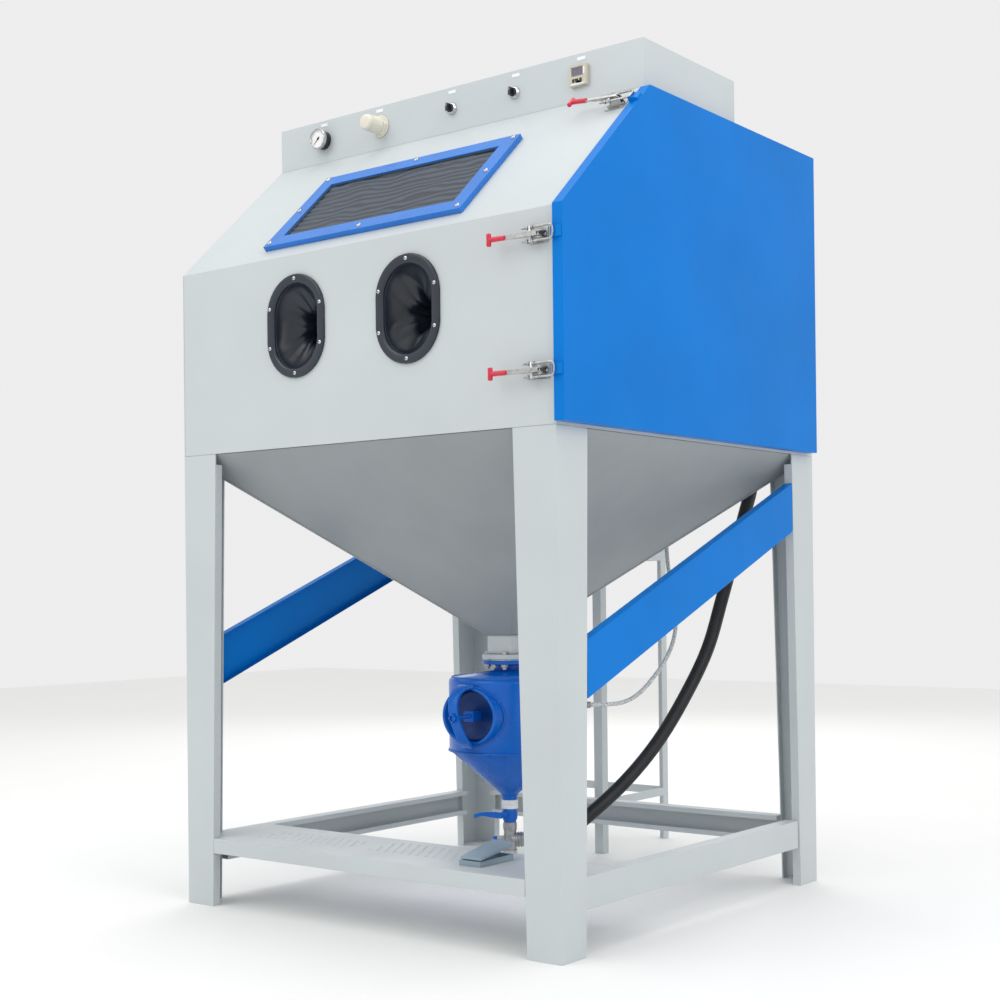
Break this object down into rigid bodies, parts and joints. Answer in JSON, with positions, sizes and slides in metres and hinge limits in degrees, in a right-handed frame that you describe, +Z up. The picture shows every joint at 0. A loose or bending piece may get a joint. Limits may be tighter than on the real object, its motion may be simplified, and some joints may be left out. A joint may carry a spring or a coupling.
{
  "type": "sandblast cabinet",
  "caption": "Free-standing pressure-pot sandblast cabinet with sloping window, glove ports, hinged side door, hopper, foot pedal and rear dust collector.",
  "frame": {"origin": "on the floor, under the middle of the machine's bounding box (hoses left out)", "axes": "+X towards the door side, +Y from the operator to the back, +Z up"},
  "size_m": [1.23, 1.6396, 2.097],
  "materials": {
    "grey_paint": "semi-gloss light grey paint",
    "hopper_paint": "semi-gloss grey paint",
    "blue_paint": "gloss blue paint",
    "pot_blue": "gloss blue paint over welded steel",
    "zinc": "bright zinc plate",
    "steel": "bare steel",
    "black_plastic": "black moulded plastic",
    "black_rubber": "matt black rubber",
    "cream_plastic": "cream moulded plastic",
    "timer_plastic": "beige moulded plastic",
    "window_glass": "toughened glass with a protective film",
    "pedal_plastic": "blue-grey moulded plastic",
    "white_plastic": "white diffuser",
    "clear_hose": "clear hose with woven reinforcement"
  },
  "bodies": {
    "cabinet": {"leg_front_left": "grey_paint", "leg_rear_left": "grey_paint", "leg_front_right": "grey_paint", "leg_rear_right": "grey_paint", "base_platform": "grey_paint", "rear_rail": "grey_paint", "brace_right": "blue_paint", "brace_left": "blue_paint", "front_panel": "grey_paint", "left_panel": "grey_paint", "rear_shell": "grey_paint", "door_seal": "black_rubber", "control_box": "grey_paint", "hopper": "hopper_paint", "hopper_neck": "hopper_paint", "flange_gasket": "zinc", "door_hinges": "steel", "latch_base_1": "zinc", "latch_base_2": "zinc", "latch_base_3": "zinc", "window_frame": "blue_paint", "window_glass": "window_glass", "port_frame_left": "black_plastic", "glove_left": "black_rubber", "port_frame_right": "black_plastic", "glove_right": "black_rubber", "gauge_case": "black_plastic", "regulator_body": "cream_plastic", "timer_case": "timer_plastic", "pot_shell": "pot_blue", "hand_hole_cover": "pot_blue", "hand_hole_yoke": "pot_blue", "grit_valve": "pot_blue", "mixing_tee": "zinc", "pedal_base": "pedal_plastic", "blast_hose": "black_rubber", "air_hose": "clear_hose", "work_grate": "steel", "blast_gun": "steel", "cabinet_lamp": "white_plastic", "collector_stand": "grey_paint", "collector_housing": "grey_paint"},
    "door": {"door": "blue_paint"},
    "gauge_needle": {"gauge_needle": "black_plastic"},
    "regulator_knob": {"regulator_knob": "cream_plastic"},
    "switch_knob_1": {"switch_knob_1": "black_plastic"},
    "switch_knob_2": {"switch_knob_2": "black_plastic"},
    "pedal_treadle": {"pedal_treadle": "pedal_plastic"},
    "grit_valve_lever": {"grit_valve_lever": "pot_blue"},
    "hand_hole_nut": {"hand_hole_nut": "pot_blue"},
    "popup_valve": {"popup_valve": "black_rubber"},
    "timer_key_1": {"timer_key_1": "black_plastic"},
    "timer_key_2": {"timer_key_2": "black_plastic"},
    "timer_key_3": {"timer_key_3": "black_plastic"},
    "latch_lever_1": {"latch_lever_1": "zinc"},
    "latch_hook_1": {"latch_hook_1": "zinc"},
    "latch_lever_2": {"latch_lever_2": "zinc"},
    "latch_hook_2": {"latch_hook_2": "zinc"},
    "latch_lever_3": {"latch_lever_3": "zinc"},
    "latch_hook_3": {"latch_hook_3": "zinc"}
  },
  "joints": [
    {"name": "door_swing", "type": "hinge", "parent": "cabinet", "child": "door", "pos_m": [0.598, 0.40575, 1.57], "axis": [0, 0, 1], "range_deg": [0, 110]},
    {"name": "latch_1_lever", "type": "hinge", "parent": "cabinet", "child": "latch_lever_1", "pos_m": [0.555, -0.48328, 1.94257], "axis": [0, 0.7278, 0.6858], "range_deg": [0, 100]},
    {"name": "latch_1_hook", "type": "hinge", "parent": "latch_lever_1", "child": "latch_hook_1", "pos_m": [0.537, -0.48603, 1.94548], "axis": [0, 0.7278, 0.6858], "range_deg": [-100, 0]},
    {"name": "latch_2_lever", "type": "hinge", "parent": "cabinet", "child": "latch_lever_2", "pos_m": [0.555, -0.79825, 1.576], "axis": [0, 0, 1], "range_deg": [0, 100]},
    {"name": "latch_2_hook", "type": "hinge", "parent": "latch_lever_2", "child": "latch_hook_2", "pos_m": [0.537, -0.80225, 1.576], "axis": [0, 0, 1], "range_deg": [-100, 0]},
    {"name": "latch_3_lever", "type": "hinge", "parent": "cabinet", "child": "latch_lever_3", "pos_m": [0.555, -0.79825, 1.282], "axis": [0, 0, 1], "range_deg": [0, 100]},
    {"name": "latch_3_hook", "type": "hinge", "parent": "latch_lever_3", "child": "latch_hook_3", "pos_m": [0.537, -0.80225, 1.282], "axis": [0, 0, 1], "range_deg": [-100, 0]},
    {"name": "gauge_sweep", "type": "hinge", "parent": "cabinet", "child": "gauge_needle", "pos_m": [-0.448, -0.44325, 2.041], "axis": [0, 1, 0], "range_deg": [0, 270], "stiffness_Nm_per_rad": 0.0002},
    {"name": "regulator_turn", "type": "hinge", "parent": "cabinet", "child": "regulator_knob", "pos_m": [-0.241, -0.45025, 2.041], "axis": [0, 1, 0], "range_deg": [0, 720]},
    {"name": "switch_1_turn", "type": "hinge", "parent": "cabinet", "child": "switch_knob_1", "pos_m": [0.005, -0.43025, 2.041], "axis": [0, 1, 0], "range_deg": [0, 90]},
    {"name": "switch_2_turn", "type": "hinge", "parent": "cabinet", "child": "switch_knob_2", "pos_m": [0.207, -0.43025, 2.041], "axis": [0, 1, 0], "range_deg": [0, 90]},
    {"name": "timer_key_1_press", "type": "slide", "parent": "cabinet", "child": "timer_key_1", "axis": [0, 1, 0], "range_m": [0, 0.001], "stiffness_N_per_m": 150},
    {"name": "timer_key_2_press", "type": "slide", "parent": "cabinet", "child": "timer_key_2", "axis": [0, 1, 0], "range_m": [0, 0.001], "stiffness_N_per_m": 150},
    {"name": "timer_key_3_press", "type": "slide", "parent": "cabinet", "child": "timer_key_3", "axis": [0, 1, 0], "range_m": [0, 0.001], "stiffness_N_per_m": 150},
    {"name": "pedal_press", "type": "hinge", "parent": "cabinet", "child": "pedal_treadle", "pos_m": [0.285, -0.71625, 0.192], "axis": [-1, 0, 0], "range_deg": [0, 6], "stiffness_Nm_per_rad": 4, "springref_deg": -5.73},
    {"name": "grit_valve_turn", "type": "hinge", "parent": "cabinet", "child": "grit_valve_lever", "pos_m": [-0.015, -0.22725, 0.208], "axis": [0, -1, 0], "range_deg": [0, 90]},
    {"name": "hand_hole_nut_turn", "type": "hinge", "parent": "cabinet", "child": "hand_hole_nut", "pos_m": [-0.015, -0.40025, 0.48], "axis": [0, -1, 0], "range_deg": [0, 720]},
    {"name": "popup_valve_lift", "type": "slide", "parent": "cabinet", "child": "popup_valve", "axis": [0, 0, 1], "range_m": [0, 0.02]}
  ],
  "couplings": [
    {"joint": "latch_1_hook", "follows": "latch_1_lever", "ratio": -1},
    {"joint": "latch_2_hook", "follows": "latch_2_lever", "ratio": -1},
    {"joint": "latch_3_hook", "follows": "latch_3_lever", "ratio": -1}
  ]
}
